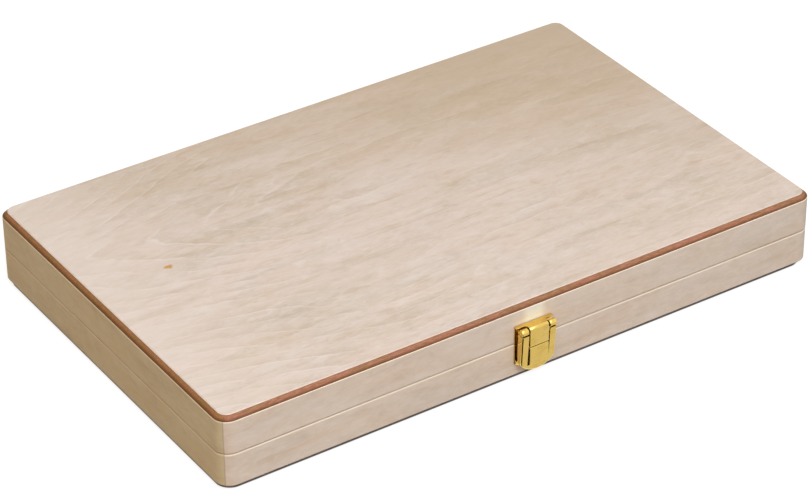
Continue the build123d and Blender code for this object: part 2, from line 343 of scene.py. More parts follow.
def lay_floor():
    """White table top that clips to white, but for a painted contact shadow: its glow stops just inside the
    case's outline, which leaves a dark line at the foot of the case's front and left
    """
    deselect_all()
    bpy.ops.mesh.primitive_plane_add(size=FLOOR_SIZE, location=(0, 0, 0))
    floor = bpy.context.object
    floor.name = "floor"
    material, tree = new_material("white table top")
    place = add_node(tree, "ShaderNodeTexCoord").outputs["Object"]
    along, across, _ = add_node(tree, "ShaderNodeSeparateXYZ", {0: place}).outputs
    left = add_node(tree, MATH, {0: -(HALF_LENGTH - SHADOW_LEFT) * MM, 1: along}, operation="SUBTRACT")
    right = add_node(tree, MATH, {0: along, 1: (HALF_LENGTH - SHADOW_RIGHT) * MM}, operation="SUBTRACT")
    front = add_node(tree, MATH, {0: -(HALF_WIDTH - SHADOW_FRONT) * MM, 1: across}, operation="SUBTRACT")
    back = add_node(tree, MATH, {0: across, 1: (HALF_WIDTH - SHADOW_BACK) * MM}, operation="SUBTRACT")
    past_painted_shadow = add_node(
        tree, "ShaderNodeCombineXYZ", {0: outside_painted_shadow(tree, left, right), 1: outside_painted_shadow(tree, front, back)}
    )
    past_painted_shadow = add_node(tree, "ShaderNodeVectorMath", {0: past_painted_shadow}, operation="LENGTH").outputs["Value"]
    # Painted contact shadow: no glow inside the case's outline, so the floor goes dark at its foot
    clear = eased(tree, past_painted_shadow, (SHADOW_CORNER - SHADOW_BLUR) * MM, SHADOW_CORNER * MM)
    plain = add_node(tree, "ShaderNodeBsdfDiffuse", {"Color": colour("#A8A7A4")})
    pale = add_node(tree, "ShaderNodeBsdfDiffuse", {"Color": colour("#8E8E8E")})
    away = add_node(tree, "ShaderNodeVectorMath", {0: place}, operation="LENGTH").outputs["Value"]
    strength = overlap(tree, clear, eased(tree, away, GLOW_NEAR, GLOW_FAR, FLOOR_GLOW, 1.0))
    glow = add_node(tree, "ShaderNodeEmission", {"Color": WHITE, "Strength": strength})
    shown = add_node(tree, "ShaderNodeAddShader", {0: pale, 1: glow})
    choice = add_node(tree, "ShaderNodeMixShader", {0: seen_directly(tree), 1: plain, 2: shown})
    add_node(tree, "ShaderNodeOutputMaterial", {"Surface": choice})
    floor.data.materials.append(material)


def lay_card(name, low, high, brightness):
    """A glowing card flat on the table, hidden from the camera, from diffuse light and from shadows, so that
    only polished metal mirrors it: a painted reflection, dark or grey, standing in for the room
    """
    deselect_all()
    middle = Vector(((low[0] + high[0]) / 2, (low[1] + high[1]) / 2, CARD_LIFT)) * MM
    bpy.ops.mesh.primitive_plane_add(size=1, location=middle)
    card = bpy.context.object
    card.name = name
    card.scale = ((high[0] - low[0]) * MM, (high[1] - low[1]) * MM, 1)
    material, tree = new_material(name.replace("_", " "))
    glow = add_node(tree, "ShaderNodeEmission", {"Color": WHITE, "Strength": brightness})
    add_node(tree, "ShaderNodeOutputMaterial", {"Surface": glow})
    card.data.materials.append(material)
    card.visible_camera = False
    card.visible_diffuse = False
    card.visible_shadow = False
    card.visible_transmission = False


def object_place(tree):
    """X, Y and Z of the surface point, in metres"""
    place = add_node(tree, "ShaderNodeTexCoord").outputs["Object"]
    return add_node(tree, "ShaderNodeSeparateXYZ", {0: place}).outputs


def object_facing(tree):
    """Sizes of X, Y and Z of the surface's direction, on the piece's own axes"""
    facing = add_node(tree, "ShaderNodeTexCoord").outputs["Normal"]
    sides = add_node(tree, "ShaderNodeSeparateXYZ", {0: facing}).outputs
    return [add_node(tree, MATH, {0: side}, operation="ABSOLUTE") for side in sides]


def from_middle(tree, value, middle):
    """Distance of a value from a middle, to either side of it"""
    shifted = add_node(tree, MATH, {0: value, 1: middle}, operation="SUBTRACT")
    return add_node(tree, MATH, {0: shifted}, operation="ABSOLUTE")


def grain_noise(tree, along_x, length, width, detail=3.0, distortion=0.0, seed=0.0):
    """Noise with cells of a length along the grain and a width across it, in millimetres"""
    place = add_node(tree, "ShaderNodeTexCoord").outputs["Object"]
    long, short = 1 / (length * MM), 1 / (width * MM)
    scale = (long, short, short) if along_x else (short, long, short)
    return add_node(
        tree,
        "ShaderNodeTexNoise",
        {
            "Vector": add_node(tree, "ShaderNodeMapping", {"Vector": place, "Scale": scale}),
            "W": seed,
            "Scale": 1.0,
            "Detail": detail,
            "Roughness": 0.55,
            "Distortion": distortion,
        },
        noise_dimensions="4D",
    ).outputs["Fac"]


def arched_rings(tree, along_x, middle, heart, taper, spacing, seed):
    """Flat-sawn growth rings, 0 to 1 across each: their lines close in long arches about a middle line"""
    x, y, _ = object_place(tree)
    along, across = (x, y) if along_x else (y, x)
    sway = grain_noise(tree, along_x, 260, 90, 1.0, 0.4, seed)
    sway = add_node(tree, MATH, {0: sway, 1: 60 * MM, 2: -(30 + middle) * MM}, operation="MULTIPLY_ADD")
    off_middle = add_node(tree, MATH, {0: across, 1: sway}, operation="ADD")
    squared = add_node(
        tree, MATH, {0: off_middle, 1: off_middle, 2: (heart * MM) ** 2}, operation="MULTIPLY_ADD"
    )
    radius = add_node(tree, MATH, {0: squared}, operation="SQRT")
    towards_end = add_node(tree, MATH, {0: along, 1: -60 * MM}, operation="MINIMUM")
    depth = add_node(tree, MATH, {0: towards_end, 1: -taper, 2: radius}, operation="MULTIPLY_ADD")
    depth = add_node(tree, MATH, {0: along, 1: -0.04, 2: depth}, operation="MULTIPLY_ADD")
    ripple = grain_noise(tree, along_x, 30, 12, 3.0, 0.3, seed + 1)
    depth = add_node(tree, MATH, {0: ripple, 1: 7 * MM, 2: depth}, operation="MULTIPLY_ADD")
    rings = add_node(tree, MATH, {0: depth, 1: spacing * MM}, operation="DIVIDE")
    return add_node(tree, MATH, {0: rings}, operation="FRACT")


def bare_wood(
    name, along_x, tones, figure=0.5, rings=FACE_RINGS, seed=0.0, roughness=0.62, marks_and_painted_light=None, arched_end=0.0
):
    """Sawn or sliced wood, sanded: tan clouds and streaks, pale ring lines, satin mottling, fibres and pores.
    Real fibres and pores are under 0.1 mm wide. They are drawn about a pixel of the photograph wide.
    The marks_and_painted_light may change the tone before it is used, with real marks and with painted light
    and shade"""
    pale, tan, deep, gleam = (colour(tone) for tone in tones)
    material, tree = new_material(name)

    # Broad colour of the board
    clouds = grain_noise(tree, along_x, 120, 30, 3.0, 0.5, seed)
    streaks = grain_noise(tree, along_x, 80, 8, 3.0, 0.5, seed + 2)
    tone = tinted(tree, pale, clouds, 0.36, 0.66, 0.78, tan)
    tone = tinted(tree, tone, streaks, 0.50, 0.76, 0.50, deep)
    tone = tinted(tree, tone, streaks, 0.46, 0.26, 0.30, gleam)

    # Growth rings that come and go along the board
    ring = arched_rings(tree, along_x, *rings, seed + 3)
    visible = grain_noise(tree, along_x, 110, 24, 2.0, 0.4, seed + 4)
    shown = overlap(tree, eased(tree, visible, 0.40, 0.62), figure)
    at_end = eased(tree, object_place(tree)[0], -75 * MM, -120 * MM, 0.0, arched_end)
    shown = add_node(tree, MATH, {0: shown, 1: at_end}, operation="MAXIMUM")
    worn = grain_noise(tree, along_x, 34, 11, 2.0, 0.4, seed + 9)
    shown = overlap(tree, shown, eased(tree, worn, 0.38, 0.60, 0.12, 1.0))
    shade = overlap(tree, eased(tree, ring, 0.25, 0.86), eased(tree, ring, 0.92, 0.86), shown, 0.34)
    tone = painted(tree, tone, shade, deep)
    line = overlap(tree, eased(tree, ring, 0.84, 0.92), eased(tree, ring, 1.0, 0.95), shown, 0.62)
    tone = painted(tree, tone, line, gleam)

    # Mottling, satin flecks, fibres and pores
    mottle = grain_noise(tree, along_x, 19, 8, 3.0, 0.8, seed + 6)
    satin = grain_noise(tree, along_x, 7, 2.8, 2.0, 1.2, seed + 7)
    fibres = grain_noise(tree, along_x, 20, 0.7, 3.0, 0.2, seed + 5)
    pores = grain_noise(tree, along_x, 3.2, 0.6, 1.0, 0.0, seed + 11)
    tone = tinted(tree, tone, mottle, 0.50, 0.72, 0.30, deep)
    tone = tinted(tree, tone, mottle, 0.46, 0.28, 0.45, gleam)
    tone = tinted(tree, tone, satin, 0.44, 0.70, 0.30, gleam)
    tone = tinted(tree, tone, satin, 0.48, 0.28, 0.14, deep)
    tone = tinted(tree, tone, fibres, 0.45, 0.75, 0.07, deep)
    tone = tinted(tree, tone, pores, 0.64, 0.78, 0.12, deep)
    wander = grain_noise(tree, along_x, 60, 17, 2.0, 0.9, seed + 8)
    richness = eased(tree, wander, 0.30, 0.70, 0.88, 1.14)
    tone = add_node(tree, "ShaderNodeHueSaturation", {"Saturation": richness, "Color": tone})
    if marks_and_painted_light:
        tone = marks_and_painted_light(tree, tone)

    height = add_node(tree, MATH, {0: pores, 1: -0.4, 2: fibres}, operation="MULTIPLY_ADD")
    bump = add_node(tree, "ShaderNodeBump", {"Strength": 0.14, "Distance": 0.05 * MM, "Height": height})
    wood = add_node(
        tree,
        "ShaderNodeBsdfPrincipled",
        {"Base Color": tone, "Roughness": roughness, "IOR": 1.45, "Specular IOR Level": 0.3, "Normal": bump},
    )
    add_node(tree, "ShaderNodeOutputMaterial", {"Surface": wood})
    return material


def aged_veneer(tree, tone):
    """The top sheet turns tan towards its back right corner, is paler at its left end, and has one
    small resin fleck"""
    x, y, _ = object_place(tree)
    towards_back = add_node(tree, MATH, {0: x, 1: 0.45, 2: y}, operation="MULTIPLY_ADD")
    cloud = grain_noise(tree, True, 90, 26, 3.0, 0.4, 70.0)
    towards_back = add_node(tree, MATH, {0: cloud, 1: 0.16, 2: towards_back}, operation="MULTIPLY_ADD")
    tone = tinted(tree, tone, towards_back, 0.05, 0.27, 0.62, colour("#CDB694"))
    leftwards = add_node(tree, MATH, {0: x, 1: -1.0}, operation="MULTIPLY")
    leftwards = add_node(tree, MATH, {0: y, 1: 0.1, 2: leftwards}, operation="MULTIPLY_ADD")
    tone = tinted(tree, tone, leftwards, 0.100, 0.210, 0.55, colour("#FAF0E8"))
    along_fleck = add_node(tree, MATH, {0: x, 1: -FLECK_X * MM}, operation="ADD")
    across_fleck = add_node(tree, MATH, {0: y, 1: -FLECK_Y * MM}, operation="ADD")
    across_fleck = add_node(tree, MATH, {0: across_fleck, 1: 1.5}, operation="MULTIPLY")
    squared = add_node(tree, MATH, {0: along_fleck, 1: along_fleck}, operation="MULTIPLY")
    squared = add_node(tree, MATH, {0: across_fleck, 1: across_fleck, 2: squared}, operation="MULTIPLY_ADD")
    reach = add_node(tree, MATH, {0: squared}, operation="SQRT")
    ragged = grain_noise(tree, True, 1.8, 1.2, 2.0, 0.5, 71.0)
    reach = add_node(tree, MATH, {0: ragged, 1: -4.0 * MM, 2: reach}, operation="MULTIPLY_ADD")
    return tinted(tree, tone, reach, 1.3 * MM, -0.7 * MM, 0.95, colour("#D6A35C"))


def worked_edges(tree, tone, pale_band_strength=1.0):
    """The rails: a pale band where their top edges are broken, both paler fresh wood and a painted highlight
    of the edge catching light, a painted shadow along the parting line, painted shade along the foot, and a
    fine glue line at the mitres"""
    x, y, z = object_place(tree)
    above_parting = add_node(tree, MATH, {0: z, 1: PARTING * MM}, operation="SUBTRACT")
    # Pale band: paler fresh wood, and a painted highlight where the broken edges catch light
    fresh_wood_and_highlight = overlap(
        tree,
        eased(tree, above_parting, -1.25 * MM, -1.00 * MM),
        eased(tree, above_parting, -0.35 * MM, -0.60 * MM),
    )
    under_panel = eased(tree, above_parting, (RAIL_TOP - 0.65) * MM, (RAIL_TOP - 0.35) * MM, 0.0, 0.9)
    fresh_wood_and_highlight = add_node(tree, MATH, {0: fresh_wood_and_highlight, 1: under_panel}, operation="MAXIMUM")
    tone = painted(tree, tone, overlap(tree, fresh_wood_and_highlight, pale_band_strength), colour("#FFF3E0"))
    # Painted shadow in the gap at the parting line
    at_parting = add_node(tree, MATH, {0: above_parting}, operation="ABSOLUTE")
    upright = eased(tree, object_facing(tree)[2], 0.90, 0.75)
    shadow = overlap(tree, eased(tree, at_parting, 0.50 * MM, 0.10 * MM, 0.0, 0.52), upright)
    tone = painted(tree, tone, shadow, colour("#84705A"))
    # Painted shade along the foot of the lower rails
    tone = tinted(tree, tone, z, (RAIL_FOOT + 0.9) * MM, RAIL_FOOT * MM, 0.55, colour("#84766A"))
    past_end, past_side = (
        add_node(tree, MATH, {0: from_middle(tree, place, 0.0), 1: half * MM}, operation="SUBTRACT")
        for place, half in ((x, HALF_LENGTH), (y, HALF_WIDTH))
    )
    off_mitre = from_middle(tree, past_end, past_side)
    return tinted(tree, tone, off_mitre, 0.7 * MM, 0.2 * MM, 0.26, colour("#7E5A38"))


def painted_glow_over_catch(tree, tone):
    """The front and back rails: worked edges, and a painted pool of light above the catch, the light that the
    polished brass throws onto the wood
    """
    x, y, z = object_place(tree)
    off_middle = from_middle(tree, x, 1.0 * MM)
    uneven = grain_noise(tree, True, 14, 5, 2.0, 0.3, 75.0)
    off_middle = add_node(tree, MATH, {0: uneven, 1: 5 * MM, 2: off_middle}, operation="MULTIPLY_ADD")
    # Painted light: a pale patch on the front rail above the catch
    reflected_glow = overlap(
        tree,
        eased(tree, off_middle, 12 * MM, 6 * MM, 0.0, 0.9),
        eased(tree, z, (PLATE_TOP - 5) * MM, (PLATE_TOP + 1) * MM),
        eased(tree, y, (WALL + 4) * MM, (WALL + 1) * MM),
    )
    return worked_edges(tree, painted(tree, tone, reflected_glow, colour("#FFFDF2")))


def warm_shaded_ends(tree, tone):
    """The side rails: their outer end faces are tinted darker and olive, a painted warm shade, and the pale
    band at their broken edges, fresh wood and painted highlight, is weaker
    """
    x, _, _ = object_place(tree)
    off_middle = add_node(tree, MATH, {0: x}, operation="ABSOLUTE")
    # Painted warm shade on the outer end faces
    outer = overlap(
        tree,
        eased(tree, off_middle, (HALF_LENGTH - 5) * MM, (HALF_LENGTH - 4) * MM),
        eased(tree, object_facing(tree)[0], 0.30, 0.55),
    )
    return worked_edges(tree, painted(tree, tone, outer, colour("#EFEED4"), "MULTIPLY"), 0.30)


def fibreboard_core(name, shaded=0.0):
    """Reddish fibreboard of a panel's core, routed at 45 degrees: open fibres and specks, painted shade where
    the cut meets the rails, darker where it meets the veneer, and on its ends a painted warm shade, more
    orange and darker at their foot. A share of painted shade can darken the whole core. The fibres are drawn
    a pixel wide"""
    material, tree = new_material(name)
    blotches = grain_noise(tree, True, 14, 5, 3.0, 0.4)
    fibres = grain_noise(tree, True, 3.4, 0.5, 3.0, 0.0, 2.0)
    specks = grain_noise(tree, True, 1.6, 0.9, 2.0, 0.3, 3.0)
    from_parting = from_middle(tree, object_place(tree)[2], PARTING * MM)
    tone = tinted(tree, colour("#BE846B"), blotches, 0.38, 0.62, 1.0, colour("#AE8260"))
    tone = tinted(tree, tone, fibres, 0.40, 0.66, 0.55, colour("#83553B"))
    tone = tinted(tree, tone, fibres, 0.44, 0.26, 0.35, colour("#DBA98C"))
    # Painted shade where the cut meets the rails
    tone = tinted(tree, tone, from_parting, 21.3 * MM, 20.1 * MM, 0.85, colour("#6E4429"))
    tone = tinted(tree, tone, from_parting, 22.1 * MM, 22.5 * MM, 0.45, colour("#8A5D44"))
    tone = tinted(tree, tone, specks, 0.60, 0.74, 0.55, colour("#7E5A38"))
    # Painted warm shade on the ends, darker at their foot
    on_ends = eased(tree, object_facing(tree)[0], 0.30, 0.60)
    tone = painted(tree, tone, on_ends, colour("#F4FAD8"), "MULTIPLY")
    foot_of_ends = overlap(tree, on_ends, eased(tree, from_parting, 21.5 * MM, 20.9 * MM, 0.0, 0.3))
    tone = painted(tree, tone, foot_of_ends, colour("#5A3218"))
    # Painted shade over the whole core, for the underside in the table's shade
    tone = painted(tree, tone, shaded, colour("#2E241C"))
    bump = add_node(tree, "ShaderNodeBump", {"Strength": 0.5, "Distance": 0.10 * MM, "Height": fibres})
    core = add_node(
        tree,
        "ShaderNodeBsdfPrincipled",
        {"Base Color": tone, "Roughness": 0.75, "IOR": 1.45, "Specular IOR Level": 0.25, "Normal": bump},
    )
    add_node(tree, "ShaderNodeOutputMaterial", {"Surface": core})
    return material


def polished_brass(name, tone, roughness=0.13):
    """Brass sheet, rolled, pressed and polished: sharp warm reflections, small stains, painted shade in
    narrow gaps, and faint rolling lines, which are drawn coarser than they are"""
    material, tree = new_material(name)
    stains = grain_noise(tree, True, 5, 4, 3.0, 0.2)
    lines = grain_noise(tree, True, 6, 0.12, 2.0, 0.0, 4.0)
    gap = add_node(tree, "ShaderNodeAmbientOcclusion", {"Distance": 2.2 * MM}, samples=12).outputs["AO"]
    shade = tinted(tree, colour(tone), stains, 0.42, 0.70, 0.35, colour("#D8AE55"))
    # Painted shade: near black where ambient occlusion finds a narrow gap
    shade = tinted(tree, shade, gap, 0.72, 0.24, 0.94, colour("#2A1A0A"))
    gloss = eased(tree, lines, 0.3, 0.7, roughness * 0.8, roughness * 1.3)
    bump = add_node(tree, "ShaderNodeBump", {"Strength": 0.06, "Distance": 0.02 * MM, "Height": lines})
    brass_shader = add_node(
        tree,
        "ShaderNodeBsdfPrincipled",
        {"Base Color": shade, "Metallic": 1.0, "Roughness": gloss, "Normal": bump},
    )
    add_node(tree, "ShaderNodeOutputMaterial", {"Surface": brass_shader})
    return material


def pick(kind, test):
    """In edit mode, selects the vertices, edges or faces whose middle, in millimetres, passes a test"""
    bpy.ops.mesh.select_mode(type=kind)
    bpy.ops.mesh.select_all(action="DESELECT")
    shape = bpy.context.object.data
    mesh = bmesh.from_edit_mesh(shape)
    for part in {"VERT": mesh.verts, "EDGE": mesh.edges, "FACE": mesh.faces}[kind]:
        corners = [part] if kind == "VERT" else part.verts
        middle = sum((corner.co for corner in corners), Vector()) / len(corners) / MM
        part.select = bool(test(middle))
    mesh.select_flush_mode()
    bmesh.update_edit_mesh(shape)


def near(value, target):
    """Equal to within a fiftieth of a millimetre"""
    return abs(value - target) < 0.02


def cut_at(**places):
    """In edit mode, cuts the whole mesh at heights along X, Y or Z, in millimetres"""
    for axis, values in places.items():
        normal = Vector((axis == "x", axis == "y", axis == "z"))
        for value in values:
            bpy.ops.mesh.select_all(action="SELECT")
            bpy.ops.mesh.bisect(plane_co=normal * value * MM, plane_no=normal)


def extrude(x=0.0, y=0.0, z=0.0):
    """In edit mode, extrudes what is selected by millimetres"""
    bpy.ops.mesh.extrude_region_move(TRANSFORM_OT_translate={"value": (x * MM, y * MM, z * MM)})


def resize(middle, x=1.0, y=1.0, z=1.0):
    """In edit mode, scales what is selected about a middle in millimetres"""
    bpy.ops.transform.resize(value=(x, y, z), center_override=Vector(middle) * MM)


def weld():
    """In edit mode, merges corners that bevels and walls have left on one spot"""
    bpy.ops.mesh.select_all(action="SELECT")
    bpy.ops.mesh.remove_doubles(threshold=0.003 * MM)


def rounded(width, segments=3, kind="EDGES"):
    """In edit mode, bevels what is selected by a width in millimetres"""
    bpy.ops.mesh.bevel(
        offset=width * MM, offset_type="OFFSET", segments=segments, affect=kind, clamp_overlap=True
    )
    weld()


def start_shape(name):
    """Names a new primitive, takes its size and turn into its mesh, and leaves it in edit mode"""
    shape = bpy.context.object
    shape.name = name
    bpy.ops.object.transform_apply()
    bpy.ops.object.mode_set(mode="EDIT")
    return shape


def start_sheet(name, low, high):
    """A flat upright sheet facing the front, left in edit mode. Its low and high corners share their Y"""
    deselect_all()
    middle = (Vector(low) + Vector(high)) / 2 * MM
    bpy.ops.mesh.primitive_plane_add(size=1, location=middle, rotation=(math.radians(90), 0, 0))
    bpy.context.object.scale = ((high[0] - low[0]) * MM, (high[2] - low[2]) * MM, 1)
    return start_shape(name)


def start_block(name, low, high):
    """A box between two corners, left in edit mode"""
    deselect_all()
    bpy.ops.mesh.primitive_cube_add(size=1, location=(Vector(low) + Vector(high)) / 2 * MM)
    bpy.context.object.scale = (Vector(high) - Vector(low)) * MM
    return start_shape(name)


def start_round(name, middle, radius, length, axis, corners=32):
    """A closed cylinder about a point, left in edit mode"""
    deselect_all()
    turn = {"x": (0, math.radians(90), 0), "y": (math.radians(90), 0, 0), "z": (0, 0, 0)}[axis]
    bpy.ops.mesh.primitive_cylinder_add(
        vertices=corners, radius=radius * MM, depth=length * MM, location=Vector(middle) * MM, rotation=turn
    )
    return start_shape(name)


def thicken(piece, thickness, outward, boxed=False):
    """Gives a sheet its wall, in millimetres, inwards from the side that its farthest face outward shows.
    A boxed sheet has corners where three walls meet"""
    bpy.ops.mesh.select_all(action="SELECT")
    bpy.ops.mesh.normals_make_consistent(inside=False)
    leave_edit_mode()
    outward = Vector(outward)
    farthest = max(piece.data.polygons, key=lambda face: face.center.dot(outward))
    if farthest.normal.dot(outward) < 0:
        piece.data.flip_normals()
    wall = piece.modifiers.new("wall", "SOLIDIFY")
    wall.thickness = thickness * MM
    wall.offset = -1
    wall.use_even_offset = True
    if boxed:
        wall.solidify_mode = "NON_MANIFOLD"
        wall.nonmanifold_thickness_mode = "CONSTRAINTS"
    bpy.ops.object.modifier_apply(modifier=wall.name)
    bpy.ops.object.mode_set(mode="EDIT")


def joined(first, *others):
    """Closed shells made one piece"""
    leave_edit_mode()
    deselect_all()
    for other in others:
        other.select_set(True)
    first.select_set(True)
    bpy.context.view_layer.objects.active = first
    bpy.ops.object.join()
    return first


def copy_moved(piece, x):
    """A copy with its own mesh, moved to the right by millimetres"""
    leave_edit_mode()
    twin = piece.copy()
    twin.data = piece.data.copy()
    twin.data.transform(Matrix.Translation((x * MM, 0, 0)))
    bpy.context.scene.collection.objects.link(twin)
    return twin


def finish_piece(piece, material, slot, body, *replaced, edge=SHEET_EDGE, segments=2, angle=35):
    """Breaks the sharp edges, smooths, dresses and mounts a piece on its body"""
    leave_edit_mode()
    deselect_all()
    piece.select_set(True)
    bpy.context.view_layer.objects.active = piece
    if edge:
        broken = piece.modifiers.new("broken edges", "BEVEL")
        broken.width = edge * MM
        broken.segments = segments
        broken.limit_method = "ANGLE"
        broken.angle_limit = math.radians(angle)
        broken.use_clamp_overlap = True
        bpy.ops.object.modifier_apply(modifier=broken.name)
    bpy.ops.object.mode_set(mode="EDIT")
    weld()
    bpy.ops.object.mode_set(mode="OBJECT")
    bpy.ops.object.shade_smooth_by_angle(angle=math.radians(angle))
    piece.data.materials.clear()
    piece.data.materials.append(material)
    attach(piece, body)
    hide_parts(*replaced)


def arc_below(x, half_width, shoulder, tip):
    """Height of the wide arc that closes a plate below, through both shoulders and the tip"""
    rise = shoulder - tip
    radius = (half_width ** 2 + rise ** 2) / (2 * rise)
    return tip + radius - math.sqrt(radius ** 2 - x ** 2)


def columns(half_width, steps, side):
    """Even places across a plate for the corners of its round foot, with two more at an opening's sides"""
    pitch = half_width / steps
    places = [pitch * step for step in range(1 - steps, steps)]
    return sorted([x for x in places if abs(abs(x) - side) > pitch / 2] + [-side, side])


def bend_foot(half_width, shoulder, tip, row, row_half_width):
    """In edit mode, takes a plate's straight foot to the arc. The row above it follows past a half width"""
    shape = bpy.context.object.data
    mesh = bmesh.from_edit_mesh(shape)
    row_start = arc_below(row_half_width, half_width, shoulder, tip)
    for corner in mesh.verts:
        x, _, z = corner.co / MM
        height = arc_below(min(abs(x), half_width), half_width, shoulder, tip)
        if near(z, tip):
            corner.co.z = height * MM
        elif near(z, row) and abs(x) > row_half_width:
            corner.co.z = (row + height - row_start) * MM
    bmesh.update_edit_mesh(shape)


def lid_plate(material):
    """One strip of brass sheet: up the wall, forward over the pin and down as a tongue, with two ears"""
    foot, top = PARTING + PLATE_GAP, PLATE_TOP
    half, strap = PLATE_WIDTH / 2, STRAP_WIDTH / 2
    plate = start_sheet("pressed_lid_plate", (-half, WALL, foot), (half, WALL, top))
    cut_at(x=(-strap - STRAP_FILLET, strap + STRAP_FILLET))
    pick("EDGE", lambda p: near(p.z, top))
    extrude(y=-FLANGE_REACH)
    flange = WALL - FLANGE_REACH

    # The strap leaves the flange in a round fillet at each side
    pick("EDGE", lambda p: near(p.y, flange) and abs(p.x) < strap)
    steps, reach, width = 5, 0.0, strap + STRAP_FILLET
    for step in range(1, steps + 1):
        turn = math.radians(90 * step / steps)
        next_width = strap + STRAP_FILLET * (1 - math.sin(turn))
        next_reach = STRAP_FILLET * (1 - math.cos(turn))
        extrude(y=reach - next_reach)
        resize((0, 0, 0), x=next_width / width)
        reach, width = next_reach, next_width
    extrude(y=STRAP_FRONT - (flange - reach))
    extrude(z=TONGUE_END - top)
    pick("EDGE", lambda p: near(p.z, top) and near(p.y, STRAP_FRONT))
    rounded(FOLD_RADIUS, 7)
    pick("VERT", lambda p: near(p.y, flange) and near(abs(p.x), half))
    rounded(FLANGE_CORNER, 4, "VERTICES")
    thicken(plate, SHEET, (0, 0, 1))
    pick("EDGE", lambda p: near(p.z, top) and near(p.y, WALL))
    rounded(BEND_RADIUS, 4)
    leave_edit_mode()

    ears = []
    ear_foot, ear_back = PIN_Z - EAR_REACH, PIN_Y + EAR_REACH
    for side in (-1, 1):
        inner, outer = sorted((side * (strap - SHEET), side * strap))
        low = (inner, STRAP_FRONT + SHEET / 2, ear_foot)
        ears.append(start_block("ear", low, (outer, ear_back, top - SHEET / 2)))
        pick("EDGE", lambda p: near(p.y, ear_back) and near(p.z, ear_foot))
        rounded(EAR_CORNER, 5)
        leave_edit_mode()
    joined(plate, *ears)
    finish_piece(plate, material, "brass", "upper_half", "catch_lid_plate")


def swing_loop(material):
    """Pressed brass loop: a window between two arms, walls all round, and a barrel at the top of each arm"""
    half, window = LOOP_WIDTH / 2, WINDOW_WIDTH / 2
    front, seam = PIN_Y - BARREL_RADIUS, PIN_Z - SEAM_BELOW_PIN
    shoulder, tip, sill = PIN_Z - LOOP_SHOULDER, PIN_Z - LOOP_TIP, PIN_Z - WINDOW_FOOT
    loop = start_sheet("pressed_loop", (-half, front, tip), (half, front, seam))
    cut_at(x=columns(half, 12, window), z=(sill,))
    bend_foot(half, shoulder, tip, sill, window)
    pick("FACE", lambda p: abs(p.x) < window and p.z > sill)
    bpy.ops.mesh.delete(type="FACE")

    # The middle of an edge between two corners on the arc lies a little above the arc
    def on_outline(p):
        return near(abs(p.x), half) or p.z < arc_below(min(abs(p.x), half), half, shoulder, tip) + 0.12

    pick("EDGE", on_outline)
    extrude(y=LOOP_DEPTH)
    thicken(loop, LOOP_SHEET, (0, -1, 0))
    pick("EDGE", lambda p: near(p.y, front) and on_outline(p))
    rounded(LOOP_BEND, 5)
    leave_edit_mode()

    def at_barrel_end(p):
        return near(abs(p.x), half) or near(abs(p.x), window)

    def on_barrel_rim(p):
        return at_barrel_end(p) and math.hypot(p.y - PIN_Y, p.z - PIN_Z) > BARREL_RADIUS - 0.1

    barrels = []
    for side in (-1, 1):
        middle = (side * (half + window) / 2, PIN_Y, PIN_Z)
        barrels.append(start_round("barrel", middle, BARREL_RADIUS, half - window, "x", 40))
        pick("FACE", at_barrel_end)
        bpy.ops.mesh.inset(thickness=(BARREL_RADIUS - PIN_RADIUS - PIN_CLEARANCE) * MM)
        bpy.ops.mesh.bridge_edge_loops()
        pick("EDGE", on_barrel_rim)
        rounded(BARREL_RIM, 3)
        leave_edit_mode()
    joined(loop, *barrels)
    lean = Matrix.Rotation(math.radians(LOOP_LEAN), 4, "X")
    about = Matrix.Translation(Vector((0, PIN_Y, PIN_Z)) * MM)
    loop.data.transform(about @ lean @ about.inverted())
    finish_piece(loop, material, "brass", "catch_loop", "catch_loop", edge=LOOP_EDGE, segments=3)


def keeper(material):
    """Brass plate pressed up to a hollow boss that fills the loop's window"""
    half, top = PLATE_WIDTH / 2, PARTING - PLATE_GAP
    shoulder, tip = PARTING - KEEPER_SHOULDER, PARTING - KEEPER_TIP
    boss, boss_top, boss_foot = BOSS_WIDTH / 2, PARTING - BOSS_TOP, PARTING - BOSS_TOP - BOSS_HEIGHT
    face, border = WALL - SHEET, 0.6
    plate = start_sheet("pressed_keeper", (-half, face, tip), (half, face, top))
    cut_at(x=columns(half, 10, boss), z=(boss_top, boss_foot))
    bend_foot(half, shoulder, tip, boss_foot, boss)
    pick("FACE", lambda p: abs(p.x) < boss and boss_foot < p.z < boss_top)
    extrude(y=BOSS_FRONT - face)
    thicken(plate, SHEET, (0, -1, 0), boxed=True)

    def on_boss_corner(p):
        return near(abs(p.x), boss) and (near(p.z, boss_top) or near(p.z, boss_foot)) and p.y < face - 1

    def on_boss_edge(p):
        inside = abs(p.x) <= boss - border and boss_foot + border < p.z < boss_top - border
        return near(p.y, BOSS_FRONT) and not inside

    pick("EDGE", on_boss_corner)
    rounded(BEND_RADIUS, 4)
    pick("EDGE", on_boss_edge)
    rounded(BOSS_EDGE, 3)
    finish_piece(plate, material, "brass", "lower_half", "catch_keeper")


def nail_pair(name, material, body, height, replaced):
    """Two domed brass nails through a plate of the catch, with pointed shanks"""
    face = WALL - SHEET
    nail = start_round(name, (-NAIL_OFFSET, face - NAIL_RIM / 2, height), NAIL_HEAD, NAIL_RIM, "y", 24)
    for forward, inward in NAIL_DOME:
        pick("FACE", lambda p: p.y < face - NAIL_RIM + 0.01 and near(p.x, -NAIL_OFFSET))
        bpy.ops.mesh.inset(thickness=inward * MM)
        bpy.ops.transform.translate(value=(0, -forward * MM, 0))
    pick("FACE", lambda p: near(p.y, face))
    bpy.ops.mesh.inset(thickness=NAIL_NECK * MM)
    extrude(y=NAIL_SHANK)
    extrude(y=NAIL_POINT)
    resize((-NAIL_OFFSET, face + NAIL_SHANK + NAIL_POINT, height), x=NAIL_TIP, z=NAIL_TIP)
    leave_edit_mode()
    pair = joined(nail, copy_moved(nail, 2 * NAIL_OFFSET))
    finish_piece(pair, material, "brass", body, replaced, edge=0, angle=50)


